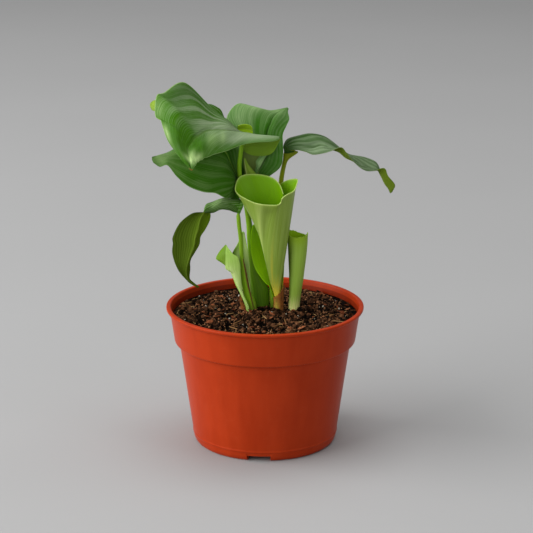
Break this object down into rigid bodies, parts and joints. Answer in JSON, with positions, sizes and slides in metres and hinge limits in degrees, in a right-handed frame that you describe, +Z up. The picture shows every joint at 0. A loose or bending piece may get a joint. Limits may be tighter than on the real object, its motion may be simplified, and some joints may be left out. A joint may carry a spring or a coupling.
{
  "type": "potted prayer plant",
  "caption": "Leafy prayer plant with arching broad leaves, a rolled young leaf and a cut sheath, growing from soil in a round plastic nursery pot with a stepped collar.",
  "frame": {"origin": "the middle of the flat pad under the pot, on the surface that the pot stands on", "axes": "+Z up along the pot's axis; the front of the plant, where the lower left leaf hangs down, looks along -Y; +X to the right of that view, where the narrow leaf arches out"},
  "size_m": [0.1873, 0.155, 0.2854],
  "materials": {
    "pot": "satin",
    "soil": "matte",
    "rhizome": "matte",
    "leaf": "satin",
    "stalk": "satin",
    "young_leaf": "satin",
    "sheath": "satin",
    "dry_scale": "matte"
  },
  "bodies": {
    "root": {"pot": "pot", "soil": "soil", "rhizome": "rhizome", "leaf_a_blade": "leaf", "leaf_b_blade": "leaf", "leaf_c_blade": "leaf", "leaf_d_blade": "leaf", "leaf_e_blade": "leaf", "leaf_a_stalk": "stalk", "leaf_b_stalk": "stalk", "leaf_c_stalk": "stalk", "leaf_d_stalk": "stalk", "leaf_e_stalk": "stalk", "young_leaf_cone": "young_leaf", "young_leaf_spoon": "young_leaf", "cut_sheath_stub": "sheath", "torn_sheath_front": "sheath", "torn_sheath_back": "sheath", "brown_cone_sheath": "dry_scale", "brown_scale": "dry_scale"}
  },
  "joints": []
}
